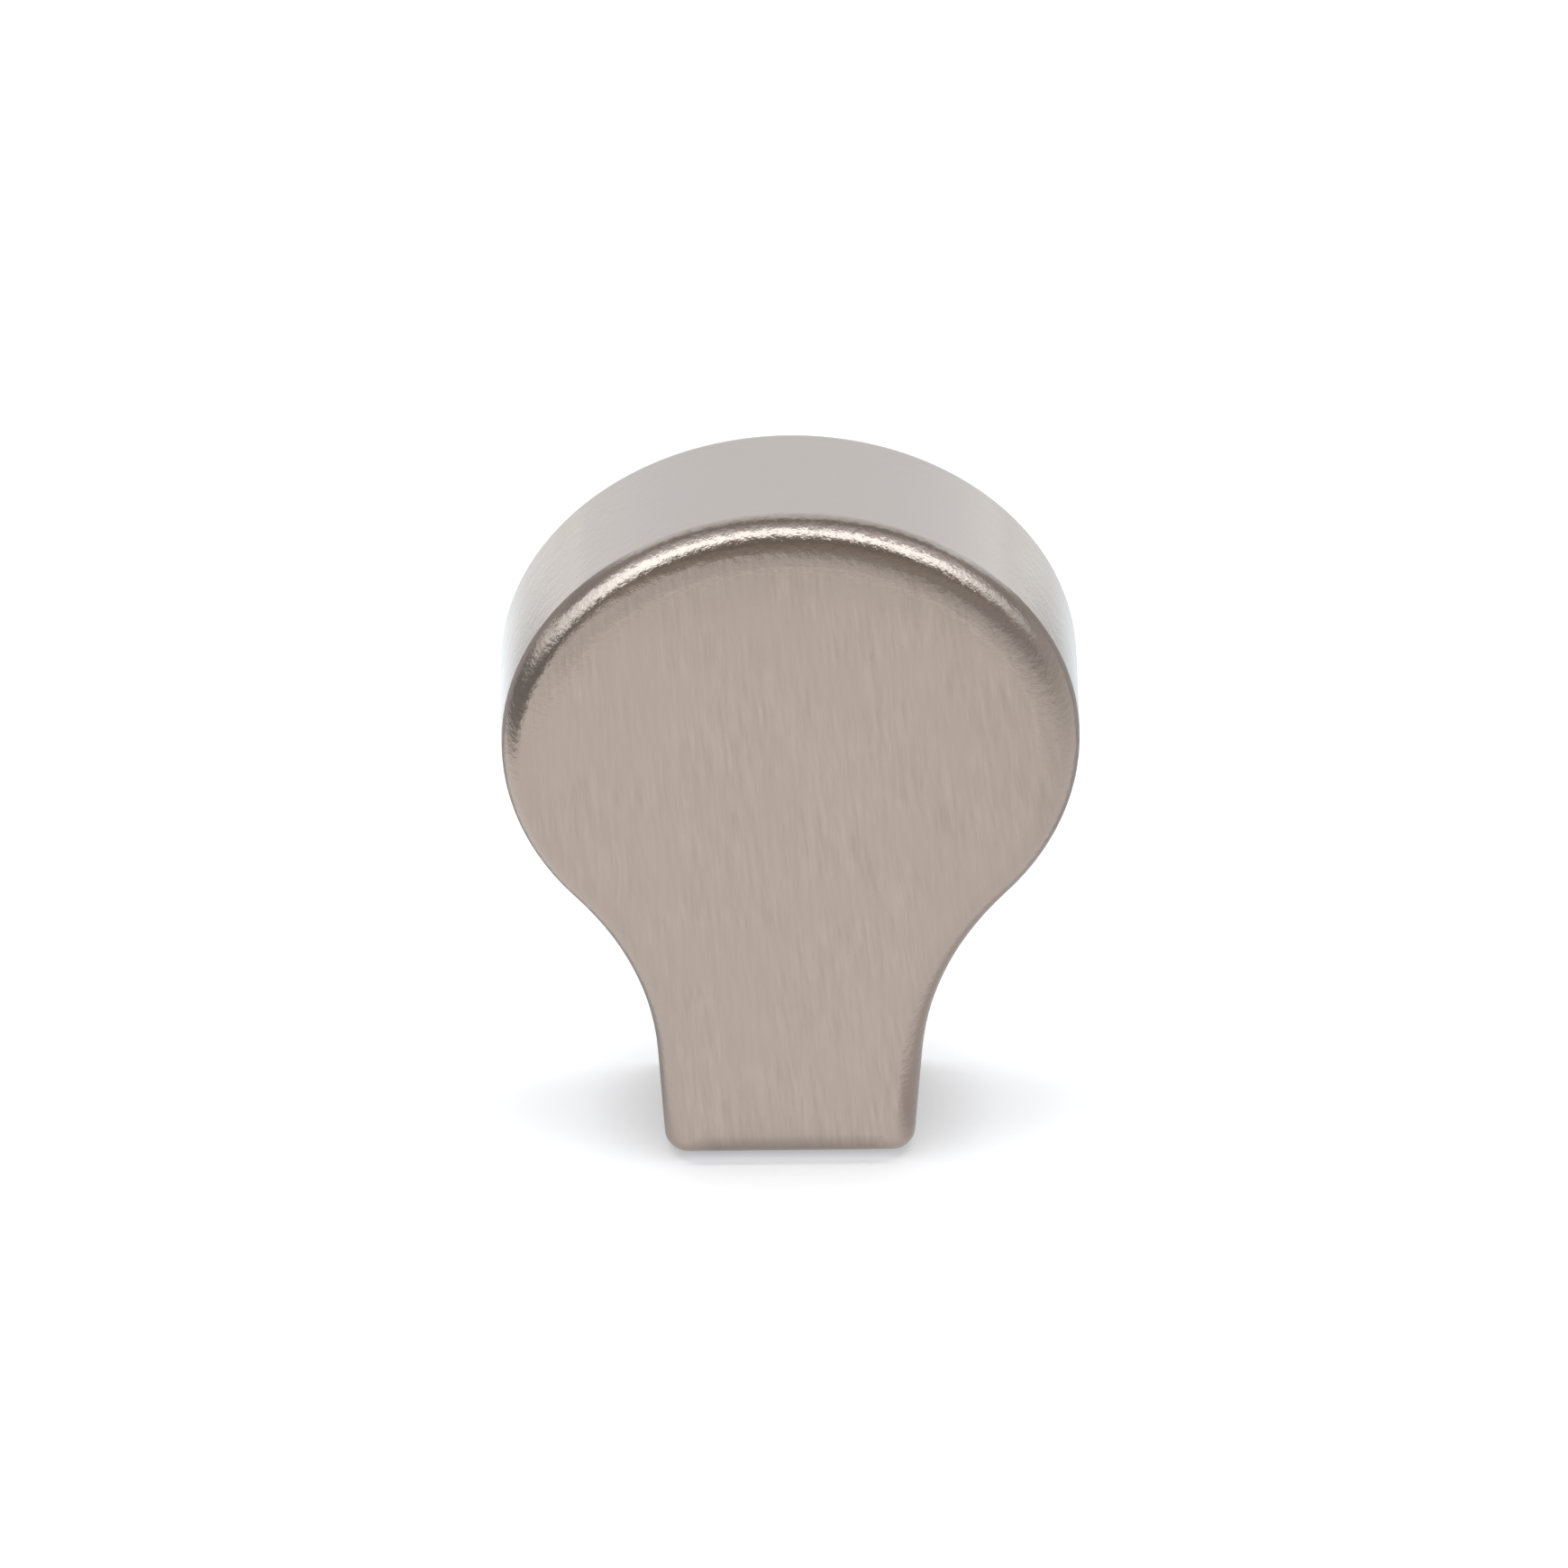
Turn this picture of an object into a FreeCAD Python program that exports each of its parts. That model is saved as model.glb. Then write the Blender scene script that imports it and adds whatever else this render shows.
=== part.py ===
import FreeCAD, Part
import math
import os
import Sketcher

# Cabinet knob, cast and brushed as one piece.
# A round head runs down through two hollow flanks into a narrow foot, all of one thickness.
# The flat face looks towards -Y and has a rounded edge all the way round. The back is flat.
# The foot stands on the cabinet front and takes a screw from below.
# Millimetres. +Z leads away from the cabinet front, +X across the face.
# The origin is the middle of the foot's underside.

SIZES = [
    ("knob_height", 36.5, "from the foot's underside to the top of the head"),
    ("head_diameter", 26.0, "round head, also the knob's full width"),
    ("foot_width", 11.3, "foot, measured where its sides meet the underside"),
    ("neck_length", 5.6, "straight part of each side, from the underside up to the hollow flank"),
    ("neck_lean", 3.7, "degrees that each side leans outwards going up"),
    ("knob_depth", 7.5, "thickness from the flat face to the back"),
    ("front_edge_radius", 1.7, "rounded edge of the flat face"),
    ("foot_corner_radius", 0.9, "both lower corners of the foot, seen from the front"),
    ("back_edge_radius", 0.3, "edge of the back, only broken by polishing"),
    ("screw_bore_diameter", 4.0, "hole for an M4 cabinet screw, at the thread's outer diameter"),
    ("screw_bore_depth", 14.0, "full-diameter depth of the hole, from the underside"),
    ("screw_lead_in", 0.2, "width of the 45 degree lead-in at the mouth of the hole"),
    ("screw_setback", 0.5, "hole's axis behind the middle of the thickness, clear of the rounded front edge"),
    ("drill_point_angle", 118.0, "degrees across the cone at the end of the hole"),
]


def size_sheet(doc):
    """Write the driving sizes, one row each, with an alias for every value."""
    sheet = doc.addObject("Spreadsheet::Sheet", "dims")
    for row, (alias, value, meaning) in enumerate(SIZES, start=1):
        sheet.set("A%d" % row, alias)
        sheet.set("B%d" % row, str(value))
        sheet.set("C%d" % row, meaning)
        sheet.setAlias("B%d" % row, alias)
    return sheet


def origin_plane(body, role):
    return [item for item in body.Origin.OriginFeatures if item.Role == role][0]


def new_sketch(body, name, role):
    sketch = body.newObject("Sketcher::SketchObject", name)
    sketch.AttachmentSupport = [(origin_plane(body, role), "")]
    sketch.MapMode = "FlatFace"
    return sketch


def named_size(sketch, name, expression, *constraint):
    """Add one driving constraint and bind it to the sheet."""
    index = sketch.addConstraint(Sketcher.Constraint(*constraint))
    sketch.renameConstraint(index, name)
    sketch.setExpression("Constraints." + name, expression)


def right_flank_points(sheet, foot_end, head_centre):
    """Centre and both ends of the hollow flank that is tangent to the neck's side and to the head."""
    lean = math.radians(float(sheet.neck_lean))
    along = FreeCAD.Vector(math.sin(lean), math.cos(lean), 0)
    outward = FreeCAD.Vector(math.cos(lean), -math.sin(lean), 0)
    side_end = foot_end + along * float(sheet.neck_length)
    head_radius = float(sheet.head_diameter) / 2
    # The flank's centre lies one flank radius outside the side, and both radii from the head's centre.
    offset = side_end - head_centre
    flank_radius = (offset.dot(offset) - head_radius ** 2) / (2 * (head_radius - offset.dot(outward)))
    centre = side_end + outward * flank_radius
    head_end = centre + (head_centre - centre).normalize() * flank_radius
    return centre, side_end, head_end


def mirrored(point):
    return FreeCAD.Vector(-point.x, point.y, 0)


def arc_between(centre, first, last):
    """Arc that runs anticlockwise from first to last."""
    circle = Part.Circle(centre, FreeCAD.Vector(0, 0, 1), (first - centre).Length)
    start = math.atan2(first.y - centre.y, first.x - centre.x)
    end = math.atan2(last.y - centre.y, last.x - centre.x)
    return Part.ArcOfCircle(circle, start, end if end > start else end + 2 * math.pi)


def outline_sketch(body, sheet):
    """Outline of the flat face: foot, leaning sides, hollow flanks and round head, all tangent."""
    sketch = new_sketch(body, "outline", "XZ_Plane")
    head_centre = FreeCAD.Vector(0, float(sheet.knob_height) - float(sheet.head_diameter) / 2, 0)
    right_foot = FreeCAD.Vector(float(sheet.foot_width) / 2, 0, 0)
    left_foot = mirrored(right_foot)
    centre, side_end, head_end = right_flank_points(sheet, right_foot, head_centre)
    foot = sketch.addGeometry(Part.LineSegment(left_foot, right_foot))
    right_side = sketch.addGeometry(Part.LineSegment(right_foot, side_end))
    right_flank = sketch.addGeometry(arc_between(centre, head_end, side_end))
    head = sketch.addGeometry(arc_between(head_centre, head_end, mirrored(head_end)))
    left_flank = sketch.addGeometry(arc_between(mirrored(centre), mirrored(side_end), mirrored(head_end)))
    left_side = sketch.addGeometry(Part.LineSegment(mirrored(side_end), left_foot))
    start, end, middle, x_axis, z_axis = 1, 2, 3, -1, -2
    for constraint in (
        ("Coincident", foot, end, right_side, start),
        ("Tangent", right_side, end, right_flank, end),
        ("Tangent", right_flank, start, head, start),
        ("Tangent", head, end, left_flank, end),
        ("Tangent", left_flank, start, left_side, start),
        ("Coincident", left_side, end, foot, start),
        ("PointOnObject", foot, start, x_axis),
        ("Symmetric", foot, start, foot, end, z_axis),
        ("Symmetric", right_side, end, left_side, start, z_axis),
        ("PointOnObject", head, middle, z_axis),
    ):
        sketch.addConstraint(Sketcher.Constraint(*constraint))
    named_size(sketch, "head_radius", "<<dims>>.head_diameter / 2 * 1 mm",
               "Radius", head, float(sheet.head_diameter) / 2)
    named_size(sketch, "head_centre", "(<<dims>>.knob_height - <<dims>>.head_diameter / 2) * 1 mm",
               "DistanceY", x_axis, 1, head, middle, head_centre.y)
    named_size(sketch, "side_length", "<<dims>>.neck_length * 1 mm",
               "Distance", right_side, float(sheet.neck_length))
    named_size(sketch, "foot_across", "<<dims>>.foot_width * 1 mm",
               "DistanceX", foot, start, foot, end, float(sheet.foot_width))
    named_size(sketch, "side_angle", "90 deg - <<dims>>.neck_lean * 1 deg",
               "Angle", right_side, math.radians(90 - float(sheet.neck_lean)))
    return sketch


def edges_where(feature, test):
    """Names of the feature's edges whose middle passes the test."""
    edges = enumerate(feature.Shape.Edges, start=1)
    return ["Edge%d" % number for number, edge in edges if test(edge.CenterOfMass)]


def rounded(body, name, base, test, radius_alias):
    fillet = body.newObject("PartDesign::Fillet", name)
    fillet.Base = (base, edges_where(base, test))
    fillet.setExpression("Radius", "<<dims>>.%s * 1 mm" % radius_alias)
    body.Document.recompute()
    return fillet


def screw_hole(body, sheet):
    """Blind hole up into the foot: lead-in, straight bore and drill point, turned about its own axis."""
    sketch = new_sketch(body, "screw_hole_section", "XZ_Plane")
    sketch.setExpression("AttachmentOffset.Base.z", "-<<dims>>.screw_setback * 1 mm")
    bore = float(sheet.screw_bore_diameter) / 2
    mouth = bore + float(sheet.screw_lead_in)
    depth = float(sheet.screw_bore_depth)
    point_height = bore / math.tan(math.radians(float(sheet.drill_point_angle) / 2))
    corners = [(0, 0), (mouth, 0), (bore, mouth - bore), (bore, depth), (0, depth + point_height)]
    corners = [FreeCAD.Vector(x, z, 0) for x, z in corners]
    for first, last in zip(corners, corners[1:] + corners[:1]):
        sketch.addGeometry(Part.LineSegment(first, last))
    underside, lead_in, wall, cone, axis = range(5)
    start, end, x_axis = 1, 2, -1
    for line in range(5):
        following = (line + 1) % 5
        sketch.addConstraint(Sketcher.Constraint("Coincident", line, end, following, start))
    sketch.addConstraint(Sketcher.Constraint("Coincident", underside, start, x_axis, 1))
    sketch.addConstraint(Sketcher.Constraint("Horizontal", underside))
    sketch.addConstraint(Sketcher.Constraint("Vertical", wall))
    sketch.addConstraint(Sketcher.Constraint("Vertical", axis))
    named_size(sketch, "mouth_radius", "(<<dims>>.screw_bore_diameter / 2 + <<dims>>.screw_lead_in) * 1 mm",
               "DistanceX", x_axis, 1, underside, end, mouth)
    named_size(sketch, "bore_radius", "<<dims>>.screw_bore_diameter / 2 * 1 mm",
               "DistanceX", x_axis, 1, wall, start, bore)
    named_size(sketch, "bore_depth", "<<dims>>.screw_bore_depth * 1 mm",
               "DistanceY", x_axis, 1, wall, end, depth)
    named_size(sketch, "lead_in_angle", "135 deg", "Angle", lead_in, math.radians(135))
    cone_angle = math.radians(90 + float(sheet.drill_point_angle) / 2)
    named_size(sketch, "point_angle", "90 deg + <<dims>>.drill_point_angle / 2 * 1 deg",
               "Angle", cone, cone_angle)
    groove = body.newObject("PartDesign::Groove", "screw_hole")
    groove.Profile = (sketch, [""])
    groove.ReferenceAxis = (sketch, ["V_Axis"])
    groove.Angle = 360
    body.Document.recompute()
    return groove


def knob_body(doc, sheet):
    body = doc.addObject("PartDesign::Body", "knob_body")
    body.Label = "knob_body"
    outline = outline_sketch(body, sheet)
    doc.recompute()
    blade = body.newObject("PartDesign::Pad", "blade")
    blade.Profile = (outline, [""])
    blade.SideType = "Symmetric"
    blade.setExpression("Length", "<<dims>>.knob_depth * 1 mm")
    doc.recompute()
    half_depth = float(sheet.knob_depth) / 2
    half_foot = float(sheet.foot_width) / 2
    near = 1e-6
    # The rounding of the face runs round head, flanks and foot, and mitres at the foot's corners.
    front_edge = rounded(body, "front_edge", blade, lambda p: abs(p.y + half_depth) < near,
                         "front_edge_radius")
    foot_corners = rounded(body, "foot_corners", front_edge,
                           lambda p: abs(p.z) < near and abs(abs(p.x) - half_foot) < near,
                           "foot_corner_radius")
    rounded(body, "back_edge", foot_corners, lambda p: abs(p.y - half_depth) < near,
            "back_edge_radius")
    screw_hole(body, sheet)
    return body


def check_document(doc):
    for item in doc.Objects:
        if "Invalid" in item.State or "Error" in item.State:
            raise RuntimeError("%s failed: %s" % (item.Name, item.State))


def check_solid(name, shape):
    if shape.isNull() or not shape.isValid() or len(shape.Solids) != 1:
        raise RuntimeError("%s isn't one valid solid" % name)


def main():
    doc = FreeCAD.newDocument("cabinet_knob")
    sheet = size_sheet(doc)
    doc.recompute()
    parts = [knob_body(doc, sheet)]
    doc.recompute()
    check_document(doc)
    os.makedirs("parts", exist_ok=True)
    for part in parts:
        check_solid(part.Label, part.Shape)
        part.Shape.exportStep("parts/%s.step" % part.Label)
        box = part.Shape.optimalBoundingBox()
        print("%s %.3f x %.3f x %.3f mm, %.1f mm3" % (
            part.Label, box.XLength, box.YLength, box.ZLength, part.Shape.Volume))


main()
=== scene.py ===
import math

import bpy
from mathutils import Matrix, Vector


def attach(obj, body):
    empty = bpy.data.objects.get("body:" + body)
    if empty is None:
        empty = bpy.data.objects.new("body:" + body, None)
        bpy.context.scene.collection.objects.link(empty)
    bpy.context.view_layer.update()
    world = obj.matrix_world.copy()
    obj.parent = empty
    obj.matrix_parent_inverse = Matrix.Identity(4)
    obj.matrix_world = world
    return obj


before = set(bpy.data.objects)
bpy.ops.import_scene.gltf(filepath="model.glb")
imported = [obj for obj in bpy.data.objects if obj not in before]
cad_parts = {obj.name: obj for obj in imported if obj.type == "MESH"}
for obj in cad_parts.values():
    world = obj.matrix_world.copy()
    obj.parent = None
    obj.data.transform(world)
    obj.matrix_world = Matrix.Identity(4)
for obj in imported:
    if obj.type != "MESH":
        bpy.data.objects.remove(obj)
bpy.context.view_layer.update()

# Brushed satin nickel cabinet knob, standing on its foot on a white table under soft studio light.
# Metres. +Z leads away from the foot, the flat face looks towards -Y.

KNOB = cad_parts["knob_body"]
MM = 0.001
WHITE = (1, 1, 1, 1)

scene = bpy.context.scene
scene.view_settings.view_transform = "Standard"

# Camera: a long lens that looks down at the flat face. Distances are in head radii.
HEAD_RADIUS = 13 * MM
FACE_Y = -3.75 * MM
ELEVATION = math.radians(38.992)
TURN = math.radians(-1.0)
ROLL = math.radians(0.06)
DISTANCE = 80.0
SCALE = 319.825
AIM_X = 0.0249
AIM_Y = -0.4914
AIM_Z = 1.08462
SENSOR = 36.0
PICTURE = 1740
CLIP = (0.01, 20)


def make_camera():
    data = bpy.data.cameras.new("camera")
    data.sensor_width = SENSOR
    data.lens = SCALE * DISTANCE / PICTURE * SENSOR
    data.dof.use_dof = False
    data.clip_start, data.clip_end = CLIP
    ahead = Vector((0, math.cos(ELEVATION), -math.sin(ELEVATION)))
    right = Vector((1, 0, 0))
    up = Vector((0, math.sin(ELEVATION), math.cos(ELEVATION)))
    place = -AIM_X * right - AIM_Y * up - DISTANCE * ahead
    turned = Matrix.Rotation(TURN, 3, "Z")
    place = turned @ place + Vector((0, 0, AIM_Z))
    place = place * HEAD_RADIUS + Vector((0, FACE_Y, 0))
    across = turned @ (math.cos(ROLL) * right + math.sin(ROLL) * up)
    upward = turned @ (-math.sin(ROLL) * right + math.cos(ROLL) * up)
    backward = turned @ -ahead
    camera = bpy.data.objects.new("camera", data)
    scene.collection.objects.link(camera)
    camera.matrix_world = Matrix((
        (across.x, upward.x, backward.x, place.x),
        (across.y, upward.y, backward.y, place.y),
        (across.z, upward.z, backward.z, place.z),
        (0, 0, 0, 1),
    ))
    scene.camera = camera


class Graph:
    """Short calls for building a node tree."""

    def __init__(self, tree):
        self.tree = tree
        tree.nodes.clear()

    def node(self, kind, **settings):
        made = self.tree.nodes.new(kind)
        for name, value in settings.items():
            setattr(made, name, value)
        return made

    def put(self, socket, value):
        if isinstance(value, bpy.types.NodeSocket):
            self.tree.links.new(value, socket)
        else:
            socket.default_value = value

    def math(self, operation, first, second=None, third=None, clamp=False):
        made = self.node("ShaderNodeMath", operation=operation, use_clamp=clamp)
        for socket, value in zip(made.inputs, (first, second, third)):
            if value is not None:
                self.put(socket, value)
        return made.outputs[0]

    def plus(self, first, second):
        return self.math("ADD", first, second)

    def minus(self, first, second):
        return self.math("SUBTRACT", first, second)

    def times(self, first, second):
        return self.math("MULTIPLY", first, second)

    def line(self, value, slope, start):
        """start + slope * value"""
        return self.math("MULTIPLY_ADD", value, slope, start)

    def power(self, value, exponent):
        return self.math("POWER", value, exponent)

    def size_of(self, value):
        return self.math("ABSOLUTE", value)

    def split(self, vector):
        made = self.node("ShaderNodeSeparateXYZ")
        self.put(made.inputs[0], vector)
        return made.outputs

    def join(self, x, y, z):
        made = self.node("ShaderNodeCombineXYZ")
        for socket, value in zip(made.inputs, (x, y, z)):
            self.put(socket, value)
        return made.outputs[0]

    def unit(self, vector):
        made = self.node("ShaderNodeVectorMath", operation="NORMALIZE")
        self.put(made.inputs[0], vector)
        return made.outputs[0]

    def span(self, value, low, high, to_low=0.0, to_high=1.0, kind="SMOOTHSTEP"):
        """Lead softly from to_low to to_high while the value runs from low to high."""
        made = self.node("ShaderNodeMapRange", interpolation_type=kind)
        for name, number in (("From Min", low), ("From Max", high), ("To Min", to_low), ("To Max", to_high)):
            self.put(made.inputs[name], number)
        self.put(made.inputs["Value"], value)
        return made.outputs[0]

    def mix(self, share, first, second, blend="MIX"):
        made = self.node("ShaderNodeMix", data_type="RGBA", blend_type=blend)
        self.put(made.inputs[0], share)
        self.put(made.inputs[6], first)
        self.put(made.inputs[7], second)
        return made.outputs[2]

    def tint(self, first, second):
        """Both colours multiplied."""
        return self.mix(1.0, first, second, blend="MULTIPLY")

    def shade(self, colour, tone):
        return self.tint(colour, self.join(tone, tone, tone))

    def noise(self, vector, scale, detail=2.0, roughness=0.5):
        made = self.node("ShaderNodeTexNoise")
        self.put(made.inputs["Vector"], vector)
        made.inputs["Scale"].default_value = scale
        made.inputs["Detail"].default_value = detail
        made.inputs["Roughness"].default_value = roughness
        return made.outputs["Fac"]

    def ramp(self, value, stops):
        """Colour by a value from 0 to 1."""
        made = self.node("ShaderNodeValToRGB")
        self.put(made.inputs["Fac"], value)
        ramp = made.color_ramp
        ramp.interpolation = "LINEAR"
        while len(ramp.elements) < len(stops):
            ramp.elements.new(0.5)
        for element, (place, colour) in zip(ramp.elements, stops):
            element.position = place
            element.color = (*colour, 1.0)
        return made.outputs["Color"]

    def mix_shader(self, share, first, second):
        made = self.node("ShaderNodeMixShader")
        self.put(made.inputs[0], share)
        self.put(made.inputs[1], first)
        self.put(made.inputs[2], second)
        return made.outputs[0]

    def background(self, colour, strength):
        made = self.node("ShaderNodeBackground")
        self.put(made.inputs["Color"], colour)
        self.put(made.inputs["Strength"], strength)
        return made.outputs[0]

    def mirrored(self, path):
        """1 for rays that come from metal or through glass."""
        return self.math("MAXIMUM", path["Is Glossy Ray"], path["Is Transmission Ray"])


# Studio, as polished metal sees it. Angles run from the front horizon up over the top to the back one.
HALF_TURN = 180.0
# Front half: the dark room.
FRONT_BANDS = [
    (0, (0.50, 0.485, 0.47)),
    (5, (0.44, 0.42, 0.40)),
    (12, (0.38, 0.355, 0.335)),
    (22, (0.35, 0.325, 0.305)),
    (36, (0.265, 0.245, 0.225)),
    (46, (0.265, 0.245, 0.225)),
    (60, (0.34, 0.33, 0.32)),
    (180, (0.34, 0.33, 0.32)),
]
# Back half: ceiling behind the softbox, a dark gap and the pale sheet behind the table.
BACK_BANDS = [
    (0, (0.76, 0.76, 0.80)),
    (88, (0.76, 0.76, 0.80)),
    (94, (0.63, 0.62, 0.64)),
    (104, (0.43, 0.42, 0.42)),
    (110, (0.31, 0.30, 0.29)),
    (117, (0.31, 0.30, 0.29)),
    (125, (0.74, 0.77, 0.80)),
    (132, (1.10, 1.19, 1.27)),
    (145, (1.12, 1.26, 1.37)),
    (165, (1.25, 1.39, 1.47)),
    (180, (1.29, 1.44, 1.53)),
]
FRONT_TO_BACK = (76.0, 85.0)
# The sheet hangs lower towards its ends, and beyond them the studio is dark.
SHEET_SAG = 40.0
SHEET_ENDS = (0.65, 0.77)
SHEET_SHIFT = 0.03
SHEET_TOP = (110.0, 130.0)
BESIDE_SHEET = (0.42, 0.41, 0.41, 1)
# The room is darker far to the left, and the horizon a little to the left of the middle is paler.
DARK_LEFT = (-0.86, -0.70)
DARK_LEFT_TONE = 0.66
PALE_LEFT = (-0.68, -0.56, -0.20)
PALE_LEFT_TOP = 12.0
PALE_LEFT_TONE = 1.45
# The long softbox over the knob runs from left to right. Its brightness by how far sideways one looks.
SOFTBOX = (2.45, 2.62, 2.72, 1)
SOFTBOX_ENDS = [
    (-1, 0.46), (-0.94, 0.62), (-0.86, 0.85), (-0.7, 1),
    (0.66, 1), (0.77, 0.90), (0.86, 0.62), (0.93, 0.50), (0.98, 0.34), (1, 0.30),
]
# Each long edge of the softbox is a curve that bends backwards towards its ends: where it crosses the middle,
# its slant, how much it bends, how much it bends close to the ends, and how soft it is.
SOFTBOX_FRONT = -0.488
SOFTBOX_FRONT_BEND = -0.12
SOFTBOX_FRONT_BEND_TO_RIGHT = 0.04
SOFTBOX_FRONT_END_BEND = 0.36
SOFTBOX_FRONT_SOFT = (-0.04, 0.11)
SOFTBOX_BACK = -0.142
SOFTBOX_BACK_SLANT = -0.035
SOFTBOX_BACK_BEND = 0.14
SOFTBOX_BACK_END_BEND = 0.24
SOFTBOX_BACK_SOFT = (-0.07, 0.03)
ROOM_LIGHT = 0.45


def make_world():
    world = bpy.data.worlds.new("studio")
    scene.world = world
    world.use_nodes = True
    g = Graph(world.node_tree)
    x, y, z = g.split(g.node("ShaderNodeTexCoord").outputs["Generated"])
    turn = g.math("DEGREES", g.math("ARCTAN2", g.math("MAXIMUM", z, 0.0), g.times(y, -1.0)))
    sideways = g.times(x, x)

    def bands(angle, stops):
        share = g.math("DIVIDE", angle, HALF_TURN, clamp=True)
        return g.ramp(share, [(degrees / HALF_TURN, colour) for degrees, colour in stops])

    back = bands(g.line(sideways, -SHEET_SAG, turn), BACK_BANDS)
    beside = g.times(g.span(g.size_of(g.minus(x, SHEET_SHIFT)), *SHEET_ENDS), g.span(turn, *SHEET_TOP))
    back = g.mix(beside, back, BESIDE_SHEET)
    dark_left = g.span(x, *DARK_LEFT, DARK_LEFT_TONE, 1.0)
    pale_left = g.times(g.span(x, PALE_LEFT[0], PALE_LEFT[1]), g.span(x, PALE_LEFT[1], PALE_LEFT[2], 1.0, 0.0))
    pale_left = g.times(pale_left, g.span(turn, 0.0, PALE_LEFT_TOP, PALE_LEFT_TONE - 1, 0.0))
    front = g.shade(bands(turn, FRONT_BANDS), g.times(dark_left, g.plus(pale_left, 1.0)))
    room = g.mix(g.span(turn, *FRONT_TO_BACK), front, back)
    front_line = g.line(sideways, g.line(x, SOFTBOX_FRONT_BEND_TO_RIGHT, SOFTBOX_FRONT_BEND), SOFTBOX_FRONT)
    front_line = g.line(g.power(sideways, 3.0), SOFTBOX_FRONT_END_BEND, front_line)
    back_line = g.line(x, SOFTBOX_BACK_SLANT, g.line(sideways, SOFTBOX_BACK_BEND, SOFTBOX_BACK))
    back_line = g.line(g.power(sideways, 4.0), SOFTBOX_BACK_END_BEND, back_line)
    front_edge = g.span(g.minus(y, front_line), *SOFTBOX_FRONT_SOFT)
    back_edge = g.span(g.minus(y, back_line), *SOFTBOX_BACK_SOFT, 1.0, 0.0)
    ends = g.ramp(g.line(x, 0.5, 0.5), [((place + 1) / 2, (level,) * 3) for place, level in SOFTBOX_ENDS])
    seen_by_metal = g.mix(g.times(front_edge, back_edge), room, g.tint(ends, SOFTBOX))
    path = g.node("ShaderNodeLightPath").outputs
    light = g.mix_shader(g.mirrored(path), g.background(WHITE, ROOM_LIGHT), g.background(seen_by_metal, 1.0))
    light = g.mix_shader(path["Is Camera Ray"], light, g.background(WHITE, 1.0))
    g.put(g.node("ShaderNodeOutputWorld").inputs["Surface"], light)


# Table: a white plane just under the foot, so that no two faces share a plane.
TABLE_HALF = 3.0
TABLE_DROP = 0.02 * MM
TABLE_WHITE = (0.8, 0.8, 0.8, 1)
# Painted light: for rays from the metal, the table's colour and glow follow the painted tone below, glowing more
# strongly away from the knob.
TABLE_WHITE_IN_METAL = (0.20, 0.20, 0.20, 1)
TABLE_TINT = (0.96, 0.985, 1.03, 1)
TABLE_GLOW = 0.435
TABLE_GLOW_IN_METAL = (0.765, 0.95)
TABLE_GLOW_REACH = (60 * MM, 500 * MM)
# Painted contact shadow: the table's glow darkens where the foot is close.
CONTACT_REACH = 4 * MM
CONTACT_SAMPLES = 6
CONTACT_OPEN = (0.68, 1.0)
CONTACT_DEPTH = 0.24
# Painted light: the table glows a little brighter under the rounded front edge, standing in for the light that edge
# throws back onto it.
BOUNCE = 0.18
BOUNCE_FRONT = (-3.62 * MM, -3.36 * MM)
BOUNCE_BACK = (-3.42 * MM, -2.6 * MM)
BOUNCE_SIDE = (4.2 * MM, 5.7 * MM)
# Painted light on the table as metal sees it: how bright it is by the distance in millimetres in front of the knob,
# to its right, and from the slanting left border of the painted lit area.
AHEAD_TONES = [
    (0, 1.0), (42, 1.0), (47, 0.93), (53, 0.86), (64, 0.81), (80, 0.79), (130, 0.76), (180, 0.70), (400, 0.58),
]
RIGHT_TONES = [
    (0, 1.0), (5, 1.0), (12, 0.95), (22, 0.89), (38, 0.84), (50, 0.76), (66, 0.68), (100, 0.62), (160, 0.55),
]
LEFT_TONES = [
    (0, 0.27), (30, 0.30), (39, 0.36), (44, 0.62), (50, 0.92), (58, 0.97), (79, 0.97), (87, 1.0),
]
LEFT_BORDER = 92 * MM
LEFT_BORDER_SLANT = 0.9
LEFT_BORDER_SLANTS_FROM = 20 * MM
PALER_LEFT = (-70 * MM, -12 * MM)
PALER_LEFT_SHARE = 0.4
FAR_LEFT = (-220 * MM, -140 * MM)
FAR_LEFT_FRONT = (-70 * MM, 0.0)
# Painted reflection behind the knob: a pale glowing wedge opens between two sides of painted shade.
WEDGE_TONE = (1.26, 1.37, 1.44, 1)
WEDGE_SLANT = 0.95
WEDGE_START = -4.5 * MM
WEDGE_SOFT = (-5 * MM, 5 * MM)
WEDGE_MIDDLE = (2 * MM, 14 * MM)
WEDGE_RIGHT = (30 * MM, 90 * MM)
WEDGE_RIGHT_TONE = 0.84
WEDGE_LEFT = (40 * MM, 90 * MM)
WEDGE_LEFT_TONE = 1.07
WEDGE_FAR = (110 * MM, 260 * MM)
WEDGE_FAR_TONE = 0.95
# Painted shade seen in metal: the dark sides of the wedge behind the knob, a little less dark just right of the
# foot.
PAINTED_SHADE_BEHIND_KNOB = (0.46, 0.45, 0.45, 1)
PAINTED_SHADE_BESIDE_FOOT = (0.62, 0.60, 0.59, 1)
BESIDE_FOOT = (0.0, 10 * MM, 14 * MM, 24 * MM)
# The painted lit area reaches further back the further it is to the side, and less far on the right.
LIT_AREA_BACK_SLANT = 0.67
LIT_AREA_BACK_FOOT = 8 * MM
LIT_AREA_BACK_LEAST = -4.5 * MM
LIT_AREA_BACK_NEAR = (9 * MM, 14 * MM)
LIT_AREA_BACK_NEAR_SHIFT = -1.3 * MM
LIT_AREA_BACK_RIGHT = (5.5 * MM, 10 * MM)
LIT_AREA_BACK_RIGHT_SHIFT = -6.5 * MM
LIT_AREA_BACK_SOFT = (-2.5 * MM, 2.5 * MM)


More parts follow.
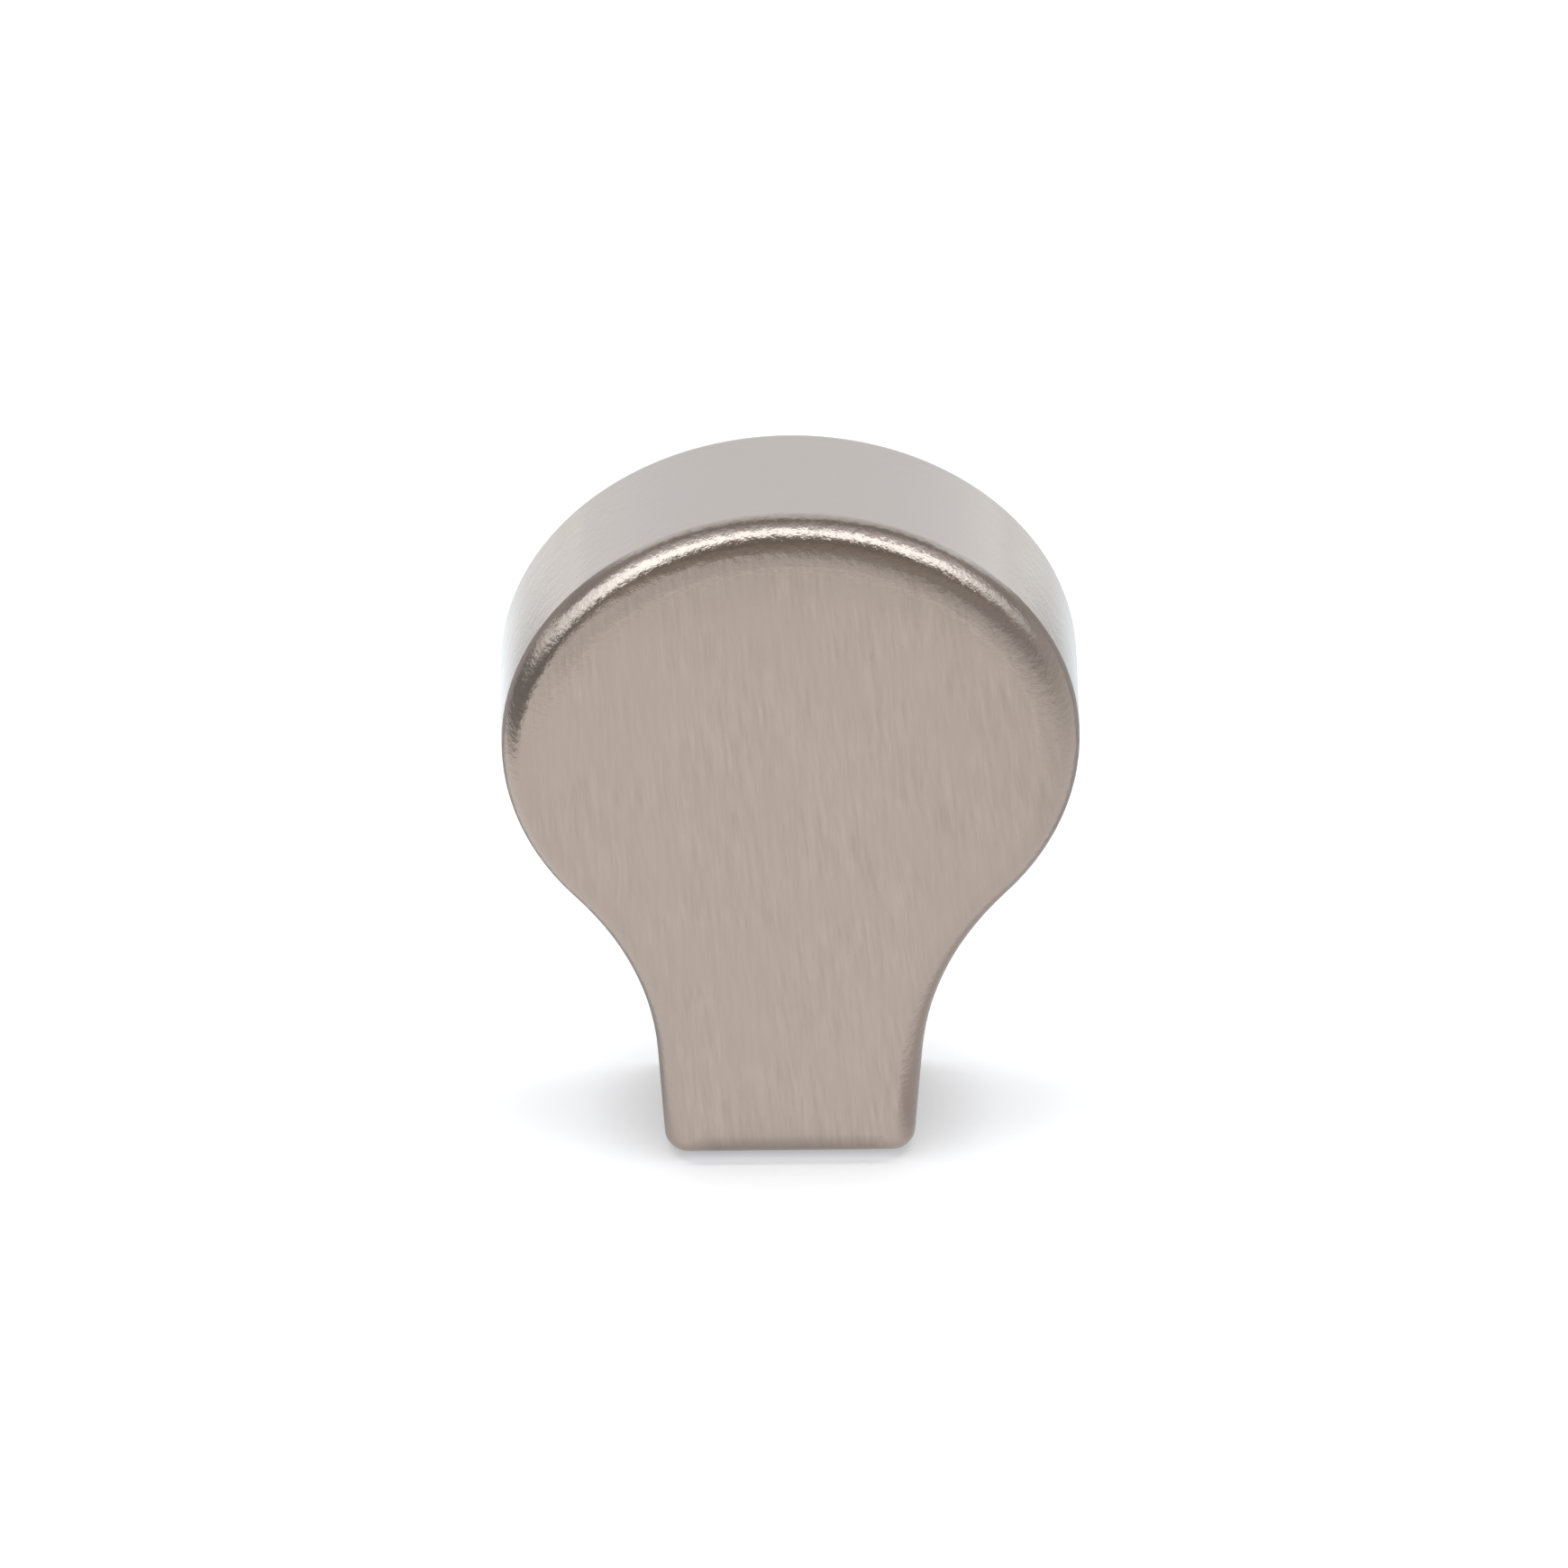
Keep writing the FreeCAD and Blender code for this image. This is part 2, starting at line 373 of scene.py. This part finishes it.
def painted_table_light(g, x, y):
    """Painted light and shade on the table, seen only in metal: a lit area that ends to the left and dims away from
    the knob.
    """
    def tones(distance, stops):
        reach = stops[-1][0] * MM
        share = g.math("DIVIDE", distance, reach, clamp=True)
        return g.ramp(share, [(place * MM / reach, (tone, tone, tone)) for place, tone in stops])

    ahead = g.times(y, -1.0)
    beyond = g.math("MAXIMUM", g.minus(ahead, LEFT_BORDER_SLANTS_FROM), 0.0)
    from_left_border = g.plus(g.line(beyond, LEFT_BORDER_SLANT, x), LEFT_BORDER)
    paler = g.times(g.span(x, *PALER_LEFT, 1.0, 0.0), PALER_LEFT_SHARE)
    front = g.mix(paler, tones(ahead, AHEAD_TONES), WHITE)
    front = g.tint(front, tones(x, RIGHT_TONES))
    front = g.math("MINIMUM", front, tones(from_left_border, LEFT_TONES))
    far_left = g.times(g.span(x, *FAR_LEFT, 1.0, 0.0), g.span(y, *FAR_LEFT_FRONT))
    front = g.mix(far_left, front, WHITE)

    to_side = g.size_of(x)
    into_wedge = g.minus(g.line(y, WEDGE_SLANT, WEDGE_START), to_side)
    wedge_right = g.span(y, *WEDGE_RIGHT, WEDGE_RIGHT_TONE, 1.0)
    wedge_left = g.span(y, *WEDGE_LEFT, 1.0, WEDGE_LEFT_TONE)
    wedge_tone = g.span(x, *WEDGE_MIDDLE, wedge_left, wedge_right)
    wedge_tone = g.times(wedge_tone, g.span(y, *WEDGE_FAR, 1.0, WEDGE_FAR_TONE))
    # Painted shade behind the knob, on both sides of the painted wedge.
    side = g.mix(g.span(x, *BESIDE_FOOT[2:]), PAINTED_SHADE_BESIDE_FOOT, PAINTED_SHADE_BEHIND_KNOB)
    side = g.mix(g.span(x, *BESIDE_FOOT[:2]), PAINTED_SHADE_BEHIND_KNOB, side)
    back = g.mix(g.span(into_wedge, *WEDGE_SOFT), side, g.shade(WEDGE_TONE, wedge_tone))

    beside_foot = g.math("MAXIMUM", g.minus(to_side, LIT_AREA_BACK_FOOT), LIT_AREA_BACK_LEAST)
    near_foot = g.span(to_side, *LIT_AREA_BACK_NEAR, LIT_AREA_BACK_NEAR_SHIFT, 0.0)
    to_right = g.span(x, *LIT_AREA_BACK_RIGHT, 0.0, LIT_AREA_BACK_RIGHT_SHIFT)
    lit_area_back = g.line(beside_foot, LIT_AREA_BACK_SLANT, g.plus(near_foot, to_right))
    return g.mix(g.span(g.minus(y, lit_area_back), *LIT_AREA_BACK_SOFT), front, back)


def make_table():
    mesh = bpy.data.meshes.new("table")
    corners = [(-1, -1), (1, -1), (1, 1), (-1, 1)]
    corners = [(x * TABLE_HALF, y * TABLE_HALF, -TABLE_DROP) for x, y in corners]
    mesh.from_pydata(corners, [], [(0, 1, 2, 3)])
    table = bpy.data.objects.new("table", mesh)
    scene.collection.objects.link(table)
    material = bpy.data.materials.new("white_table")
    material.use_nodes = True
    g = Graph(material.node_tree)
    path = g.node("ShaderNodeLightPath").outputs
    mirrored = g.mirrored(path)
    x, y, _ = g.split(g.node("ShaderNodeTexCoord").outputs["Object"])
    tone = painted_table_light(g, x, y)
    diffuse = g.node("ShaderNodeBsdfDiffuse")
    g.put(diffuse.inputs["Color"], g.mix(mirrored, TABLE_WHITE, g.tint(tone, TABLE_WHITE_IN_METAL)))
    # Painted contact shadow: ambient occlusion dims the table's glow near the foot.
    closeness = g.node("ShaderNodeAmbientOcclusion", samples=CONTACT_SAMPLES)
    closeness.inputs["Distance"].default_value = CONTACT_REACH
    painted_contact_shade = g.span(closeness.outputs["AO"], *CONTACT_OPEN, 1.0 - CONTACT_DEPTH, 1.0, kind="LINEAR")
    # Painted light under the rounded front edge, added to the table's glow.
    painted_bounce_light = g.times(g.span(y, *BOUNCE_FRONT), g.span(y, *BOUNCE_BACK, 1.0, 0.0))
    painted_bounce_light = g.times(painted_bounce_light, g.span(g.size_of(x), *BOUNCE_SIDE, 1.0, 0.0))
    glow_for_camera = g.line(painted_contact_shade, TABLE_GLOW, g.times(painted_bounce_light, BOUNCE))
    glow_for_camera = g.times(path["Is Camera Ray"], glow_for_camera)
    # Painted light in reflections: the table's glow, shaped by the painted tone, grows away from the knob.
    glow_in_metal = g.span(g.size_of(y), *TABLE_GLOW_REACH, *TABLE_GLOW_IN_METAL)
    glow = g.node("ShaderNodeEmission")
    g.put(glow.inputs["Color"], g.mix(mirrored, TABLE_TINT, tone))
    g.put(glow.inputs["Strength"], g.line(mirrored, glow_in_metal, glow_for_camera))
    both = g.node("ShaderNodeAddShader")
    g.put(both.inputs[0], diffuse.outputs[0])
    g.put(both.inputs[1], glow.outputs[0])
    # Clear from below, so that the foot's underside can be looked at.
    below = g.node("ShaderNodeNewGeometry").outputs["Backfacing"]
    surface = g.mix_shader(below, both.outputs[0], g.node("ShaderNodeBsdfTransparent").outputs[0])
    g.put(g.node("ShaderNodeOutputMaterial").inputs["Surface"], surface)
    mesh.materials.append(material)


LAMP_PLACE = (0, -0.012, 0.40)
LAMP_SIZE = (0.31, 0.15)
LAMP_POWER = 1.12


def make_lamp():
    """One soft lamp over the knob. Metal doesn't see it, since the softbox is painted."""
    data = bpy.data.lights.new("overhead", "AREA")
    data.shape = "RECTANGLE"
    data.size, data.size_y = LAMP_SIZE
    data.energy = LAMP_POWER
    lamp = bpy.data.objects.new("overhead", data)
    scene.collection.objects.link(lamp)
    lamp.location = LAMP_PLACE
    lamp.rotation_euler = (-Vector(LAMP_PLACE)).to_track_quat("-Z", "Y").to_euler()
    lamp.visible_glossy = False


# Nickel. The colour is what the plated face shows under white light.
NICKEL = (0.475, 0.40, 0.352, 1)
ROUGHNESS = (0.14, 0.19)
BRUSH_WIDTH = 0.21 * MM
BRUSH_LENGTH = 2.0 * MM
BRUSH_LEAN = 0.088
BRUSH_LEAN_TO_RIGHT = 2.7
BRUSH_SHADE = 0.38
BRUSH_RELIEF = 0.25
BROAD_SCALE = 0.3
BROAD_SHADE = 0.05
PATCH = 2.6 * MM
RIM_LINE_WIDTH = 0.12 * MM
RIM_LINE_RELIEF = 0.04
BUMP_HEIGHT = 0.026 * MM
# How far the normal points out of a face, from 0 on the rim to 1 on the flat: where brush lines begin,
# and the two spans over which the grain of the rounded edges comes and goes.
FACE_FACING = (0.75, 0.97)
EDGE_FACING = (0.10, 0.40)
FLAT_FACING = (0.90, 0.995)
# Grain: fine dents, strong on the rounded front edge, faint on the rim, the flats and the back edge.
GRAIN = 0.34 * MM
RIM_GRAIN = 0.25
FRONT_EDGE_GRAIN = 1.3
BACK_EDGE_GRAIN = 0.3
BACK_EDGE_GRAIN_FROM = (2.0 * MM, 3.2 * MM)
FLAT_GRAIN = 0.10
# Brushing has worn the border of the face, by distance from the head's centre or, below it, from the middle:
# it falls away by up to a degree and a half towards the rounded edge, and the grain begins close to that.
HEAD_CENTRE = 23.5 * MM
WORN_BORDER = (9.1 * MM, 11.35 * MM)
WORN_DEPTH = 1.15
GRAINY_BORDER = (10.6 * MM, 11.35 * MM)
# From the middle of the thickness backwards, what is only on the front face fades out.
FRONT_HALF = (0.0, 1 * MM)
# The broken edge of the back, above the foot's corners, and the outline that it follows:
# the neck's side up to NECK_TOP, the hollow flank up to FLANK_TOP, then the head.
BACK_EDGE = (3.45 * MM, 3.75 * MM)
BACK_EDGE_STARTS = (3.44 * MM, 3.46 * MM)
FOOT_CORNER = (0.9 * MM, 1.1 * MM)
NECK_TOP = 5.588 * MM
FLANK_TOP = 15.028 * MM
FLANK_CENTRE = (22.056 * MM, 4.551 * MM)


def even_normal(g, place, normal):
    """The knob's normal. On the narrow back edge it follows the outline, because the mesh's own is uneven there."""
    x, y, z = g.split(place)
    from_head = g.join(x, 0.0, g.minus(z, HEAD_CENTRE))
    flank_x = g.times(g.math("SIGN", x), FLANK_CENTRE[0])
    flank_z = g.minus(FLANK_CENTRE[1], g.math("MAXIMUM", z, NECK_TOP))
    to_flank = g.join(g.minus(flank_x, x), 0.0, flank_z)
    outward = g.split(g.unit(g.mix(g.math("GREATER_THAN", z, FLANK_TOP), to_flank, from_head)))
    back = g.span(y, *BACK_EDGE, kind="LINEAR")
    aside = g.math("SQRT", g.minus(1.0, g.times(back, back)))
    edge = g.join(g.times(outward[0], aside), back, g.times(outward[2], aside))
    share = g.times(g.span(y, *BACK_EDGE_STARTS), g.span(z, *FOOT_CORNER))
    return g.unit(g.mix(share, normal, edge))


def grain_height(g, place, y, facing, reach):
    """Fine dents. Their mean height is the same on all of the face, so that the grainy border doesn't tilt it."""
    edge_grain = g.span(y, *BACK_EDGE_GRAIN_FROM, FRONT_EDGE_GRAIN, BACK_EDGE_GRAIN)
    on_edge = g.span(facing, *EDGE_FACING, RIM_GRAIN, edge_grain)
    border_grain = g.span(reach, *GRAINY_BORDER, FLAT_GRAIN, g.span(y, *FRONT_HALF, 1.0, FLAT_GRAIN))
    dents = g.minus(g.noise(place, 1 / GRAIN, detail=3.0, roughness=0.6), 0.5)
    dents = g.times(dents, g.span(facing, *FLAT_FACING, 1.0, border_grain))
    mean = g.span(facing, *FLAT_FACING, 0.5, FLAT_GRAIN / 2)
    return g.times(on_edge, g.plus(dents, mean))


def make_brushed_nickel():
    """Fine brush lines that run down both faces and lean a little, and run round the rim."""
    material = bpy.data.materials.new("brushed_nickel")
    material.use_nodes = True
    g = Graph(material.node_tree)
    coordinates = g.node("ShaderNodeTexCoord").outputs
    place = coordinates["Object"]
    x, y, z = g.split(place)
    normal = even_normal(g, place, coordinates["Normal"])
    facing = g.size_of(g.split(normal)[1])
    on_face = g.span(facing, *FACE_FACING)

    def lines(across, along_y, along_z):
        return g.join(g.math("DIVIDE", *across), g.math("DIVIDE", *along_y), g.math("DIVIDE", *along_z))

    leaning = g.line(z, g.line(x, BRUSH_LEAN_TO_RIGHT, BRUSH_LEAN), x)
    face_lines = lines((leaning, BRUSH_WIDTH), (y, BRUSH_WIDTH * 4), (z, BRUSH_LENGTH))
    rim_lines = lines((x, BRUSH_LENGTH), (y, RIM_LINE_WIDTH), (z, BRUSH_LENGTH))
    face_brush = g.noise(face_lines, 1.0)
    broad = g.noise(face_lines, BROAD_SCALE)
    rim_brush = g.noise(rim_lines, 1.0)
    patches = g.span(g.noise(place, 1 / PATCH, detail=1.5), 0.35, 0.7, 0.25, 1.0)
    streak = g.times(g.minus(face_brush, 0.5), g.times(patches, on_face))
    slow = g.times(g.minus(broad, 0.5), on_face)
    shade = g.plus(g.line(streak, BRUSH_SHADE, 1.0), g.times(slow, BROAD_SHADE))

    over_centre = g.math("MAXIMUM", g.minus(z, HEAD_CENTRE), 0.0)
    reach = g.math("SQRT", g.plus(g.times(x, x), g.times(over_centre, over_centre)))
    worn = g.power(g.span(reach, *WORN_BORDER, kind="LINEAR"), 2.0)
    worn = g.times(worn, g.span(y, *FRONT_HALF, -WORN_DEPTH, 0.0))
    relief = g.line(streak, BRUSH_RELIEF, g.times(rim_brush, RIM_LINE_RELIEF))
    relief = g.plus(relief, grain_height(g, place, y, facing, reach))
    relief = g.plus(relief, g.times(worn, on_face))
    bump = g.node("ShaderNodeBump")
    bump.inputs["Strength"].default_value = 1.0
    bump.inputs["Distance"].default_value = BUMP_HEIGHT
    g.put(bump.inputs["Height"], relief)
    g.put(bump.inputs["Normal"], normal)

    shader = g.node("ShaderNodeBsdfPrincipled")
    shader.inputs["Metallic"].default_value = 1.0
    g.put(shader.inputs["Base Color"], g.shade(NICKEL, shade))
    g.put(shader.inputs["Roughness"], g.span(rim_brush, 0.25, 0.75, *ROUGHNESS))
    g.put(shader.inputs["Normal"], bump.outputs[0])
    g.put(g.node("ShaderNodeOutputMaterial").inputs["Surface"], shader.outputs[0])
    return material


CUT_NICKEL = ((0.50, 0.44, 0.39, 1), (0.56, 0.50, 0.45, 1))
CUT_ROUGHNESS = (0.18, 0.30)
CUT_MARK = 0.15 * MM


def make_cut_nickel():
    """The thread, cut after casting: brighter, with faint turning marks."""
    material = bpy.data.materials.new("cut_nickel")
    material.use_nodes = True
    g = Graph(material.node_tree)
    place = g.node("ShaderNodeTexCoord").outputs["Object"]
    marks = g.noise(place, 1 / CUT_MARK)
    shader = g.node("ShaderNodeBsdfPrincipled")
    shader.inputs["Metallic"].default_value = 1.0
    g.put(shader.inputs["Base Color"], g.mix(marks, *CUT_NICKEL))
    g.put(shader.inputs["Roughness"], g.span(marks, 0.3, 0.7, *CUT_ROUGHNESS))
    g.put(g.node("ShaderNodeOutputMaterial").inputs["Surface"], shader.outputs[0])
    return material


# M4 thread in the foot's hole.
HOLE_Y = 0.5 * MM
PITCH = 0.7 * MM
THREAD_FROM = 0.75 * MM
THREAD_TURNS = 17.5
STEPS_PER_TURN = 40
WALL_RADIUS = 2.0 * MM
CREST_RADIUS = 1.621 * MM
CREST_WIDTH = 0.0875 * 2 * MM
ROOT_WIDTH = 0.306 * 2 * MM
SUNK_INTO_WALL = 0.04 * MM
RUN_OUT_TURNS = 0.6
RUN_OUT_LEAST = 0.04
SHARP_ANGLE = math.radians(30)


def make_thread():
    """One ridge that winds up the wall of the hole and runs out at both ends."""
    steps = int(THREAD_TURNS * STEPS_PER_TURN)
    run_out_steps = STEPS_PER_TURN * RUN_OUT_TURNS
    corners = []
    sunk = WALL_RADIUS + SUNK_INTO_WALL
    for step in range(steps + 1):
        turn = 2 * math.pi * step / STEPS_PER_TURN
        height = THREAD_FROM + PITCH * step / STEPS_PER_TURN
        full = min(1.0, step / run_out_steps, (steps - step) / run_out_steps)
        full = RUN_OUT_LEAST + (1 - RUN_OUT_LEAST) * full
        crest = WALL_RADIUS + (CREST_RADIUS - WALL_RADIUS) * full
        root_half = ROOT_WIDTH / 2 * full
        crest_half = CREST_WIDTH / 2 * full
        for radius, shift in ((sunk, -root_half), (crest, -crest_half), (crest, crest_half), (sunk, root_half)):
            corners.append((radius * math.cos(turn), HOLE_Y + radius * math.sin(turn), height + shift))
    faces = [(0, 3, 2, 1), tuple(steps * 4 + corner for corner in range(4))]
    for step in range(steps):
        for corner in range(4):
            first, second = step * 4 + corner, step * 4 + (corner + 1) % 4
            faces.append((first, second, second + 4, first + 4))
    mesh = bpy.data.meshes.new("screw_thread")
    mesh.from_pydata(corners, [], faces)
    mesh.validate()
    mesh.polygons.foreach_set("use_smooth", [True] * len(mesh.polygons))
    mesh.set_sharp_from_angle(angle=SHARP_ANGLE)
    thread = bpy.data.objects.new("screw_thread", mesh)
    scene.collection.objects.link(thread)
    mesh.materials.append(make_cut_nickel())
    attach(thread, "root")


make_camera()
make_world()
make_table()
make_lamp()
nickel = make_brushed_nickel()
for slot in KNOB.material_slots:
    slot.material = nickel
make_thread()

bpy.context.view_layer.update()
